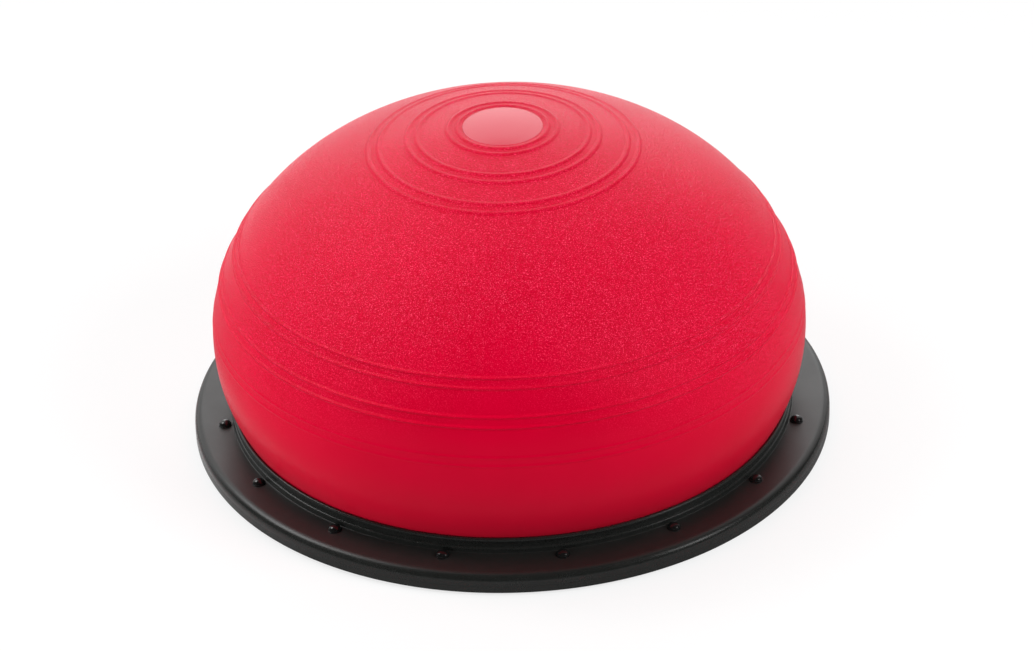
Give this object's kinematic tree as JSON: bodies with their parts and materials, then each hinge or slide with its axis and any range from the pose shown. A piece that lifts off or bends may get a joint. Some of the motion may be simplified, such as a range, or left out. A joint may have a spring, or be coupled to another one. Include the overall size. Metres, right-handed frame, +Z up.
{
  "type": "trampoline balance ball",
  "caption": "Half-ball balance trainer: an air-filled ribbed vinyl dome clamped by a riveted ring to a round platform, with a stopper underneath for pumping it up.",
  "frame": {"origin": "centre of the circle of foot pads, on the floor that they stand on", "axes": "+Z up through the pole of the ball; -Y towards the side that the picture shows, midway between two rivets"},
  "size_m": [0.52, 0.52, 0.266],
  "materials": {
    "red_vinyl": "satin",
    "red_gloss_vinyl": "gloss",
    "black_plastic": "satin",
    "black_gloss_plastic": "gloss",
    "black_rubber": "matte",
    "white_plastic": "matte"
  },
  "bodies": {
    "platform": {"base_plate": "black_plastic", "foot_pad_1": "black_rubber", "foot_pad_2": "black_rubber", "foot_pad_3": "black_rubber", "foot_pad_4": "black_rubber", "foot_pad_5": "black_rubber", "foot_pad_6": "black_rubber", "foot_pad_7": "black_rubber", "foot_pad_8": "black_rubber", "ball_shell": "red_vinyl", "ball_foot": "red_vinyl", "clamp_ring": "black_plastic", "rim_rivet_01": "black_gloss_plastic", "rim_rivet_02": "black_gloss_plastic", "rim_rivet_03": "black_gloss_plastic", "rim_rivet_04": "black_gloss_plastic", "rim_rivet_05": "black_gloss_plastic", "rim_rivet_06": "black_gloss_plastic", "rim_rivet_07": "black_gloss_plastic", "rim_rivet_08": "black_gloss_plastic", "rim_rivet_09": "black_gloss_plastic", "rim_rivet_10": "black_gloss_plastic", "rim_rivet_11": "black_gloss_plastic", "rim_rivet_12": "black_gloss_plastic", "rim_rivet_13": "black_gloss_plastic", "rim_rivet_14": "black_gloss_plastic", "rim_rivet_15": "black_gloss_plastic", "rim_rivet_16": "black_gloss_plastic", "valve_bush": "black_rubber"},
    "crown": {"crown_disc": "red_gloss_vinyl"},
    "stopper": {"valve_plug": "white_plastic"}
  },
  "joints": [
    {"name": "dome_press", "type": "slide", "parent": "platform", "child": "crown", "axis": [0, 0, -1], "range_m": [0, 0.06], "stiffness_N_per_m": 12000, "deforming": ["ball_shell"]},
    {"name": "valve_pull", "type": "slide", "parent": "platform", "child": "stopper", "axis": [0, 0, -1], "range_m": [0, 0.02]}
  ]
}
